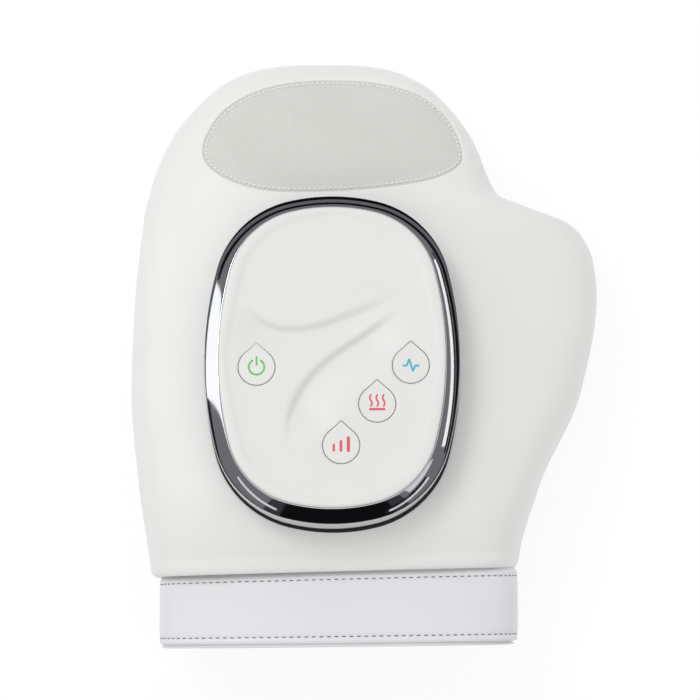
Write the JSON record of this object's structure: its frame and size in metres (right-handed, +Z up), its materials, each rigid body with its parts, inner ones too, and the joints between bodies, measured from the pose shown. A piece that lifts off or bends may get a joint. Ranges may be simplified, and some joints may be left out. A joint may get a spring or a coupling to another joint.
{
  "type": "hand massager",
  "caption": "Mitten-shaped air massager with an oval control pod, drop-shaped buttons, a fingertip window and a soft wrist cuff round a lined hand space.",
  "frame": {"origin": "on the flat palm face that the massager rests on, below the middle of its length", "axes": "+X towards the thumb, +Y towards the fingertips, +Z up, away from the palm face"},
  "size_m": [0.1998, 0.2495, 0.1013],
  "materials": {
    "leather": "soft white synthetic leather",
    "cuff_leather": "cool white synthetic leather",
    "window_fabric": "pale grey woven fabric",
    "foam": "open-cell foam",
    "lining": "brushed knit lining",
    "air_bag_film": "welded film",
    "heater_film": "flexible heating film",
    "chrome": "bright plated",
    "white_abs": "moulded, fine gloss",
    "base_abs": "moulded, matt",
    "key_plastic": "moulded, satin",
    "board": "glass-fibre board with green resist",
    "black_plastic": "moulded, matt",
    "steel": "plain",
    "nickel": "plain strip",
    "magnet": "sintered ferrite",
    "copper": "enamelled wire winding",
    "cell_wrap": "shrink sleeve",
    "rubber": "moulded",
    "hose": "clear silicone",
    "lead": "insulated wire",
    "nylon": "moulded nylon"
  },
  "bodies": {
    "massager": {"upper_cover": "leather", "lower_cover": "leather", "finger_window": "window_fabric", "cuff_band": "cuff_leather", "cuff_pad": "foam", "hand_lining": "lining", "heating_film": "heater_film", "back_air_bag": "air_bag_film", "palm_air_bag": "air_bag_film", "upper_foam": "foam", "lower_foam": "foam", "link_hose": "hose", "heater_lead": "lead", "supply_hose": "hose", "trim_ring": "chrome", "pod_base": "base_abs", "top_cover": "white_abs", "clamp_plate": "base_abs", "clamp_screws": "steel", "cover_screws": "steel", "ring_gasket": "rubber", "main_board": "board", "board_chips": "black_plastic", "switch_cans": "steel", "board_screws": "steel", "battery_cells": "cell_wrap", "battery_tabs": "nickel", "battery_saddles": "rubber", "motor_can": "steel", "motor_end_cap": "nylon", "motor_magnets": "magnet", "motor_saddles": "rubber", "pump_head": "nylon", "pump_diaphragm": "rubber", "pump_rocker": "nylon", "pump_lid": "nylon", "valve_frame": "steel", "valve_coil": "copper", "valve_cap": "nylon", "manifold": "nylon", "valve_hose": "hose", "pump_hose": "hose", "charge_socket": "steel", "socket_board": "board", "board_leads": "lead"},
    "power_key": {"power_button": "key_plastic", "power_plunger": "black_plastic"},
    "mode_key": {"mode_button": "key_plastic", "mode_plunger": "black_plastic"},
    "heat_key": {"heat_button": "key_plastic", "heat_plunger": "black_plastic"},
    "level_key": {"level_button": "key_plastic", "level_plunger": "black_plastic"},
    "pump_rotor": {"motor_armature": "copper", "motor_shaft": "steel", "pump_crank": "nylon"},
    "valve_core": {"valve_plunger": "steel"}
  },
  "joints": [
    {"name": "power_press", "type": "slide", "parent": "massager", "child": "power_key", "axis": [0, -0.1132, -0.9936], "range_m": [0, 0.0006], "stiffness_N_per_m": 2500},
    {"name": "mode_press", "type": "slide", "parent": "massager", "child": "mode_key", "axis": [0, -0.1132, -0.9936], "range_m": [0, 0.0006], "stiffness_N_per_m": 2500},
    {"name": "heat_press", "type": "slide", "parent": "massager", "child": "heat_key", "axis": [0, -0.1132, -0.9936], "range_m": [0, 0.0006], "stiffness_N_per_m": 2500},
    {"name": "level_press", "type": "slide", "parent": "massager", "child": "level_key", "axis": [0, -0.1132, -0.9936], "range_m": [0, 0.0006], "stiffness_N_per_m": 2500},
    {"name": "pump_spin", "type": "hinge", "parent": "massager", "child": "pump_rotor", "pos_m": [-0.0137, 0.021, 0.07145], "axis": [1, 0, 0], "continuous": true},
    {"name": "valve_stroke", "type": "slide", "parent": "massager", "child": "valve_core", "axis": [-1, 0, 0], "range_m": [0, 0.0008], "stiffness_N_per_m": 200, "springref_m": -0.001}
  ]
}
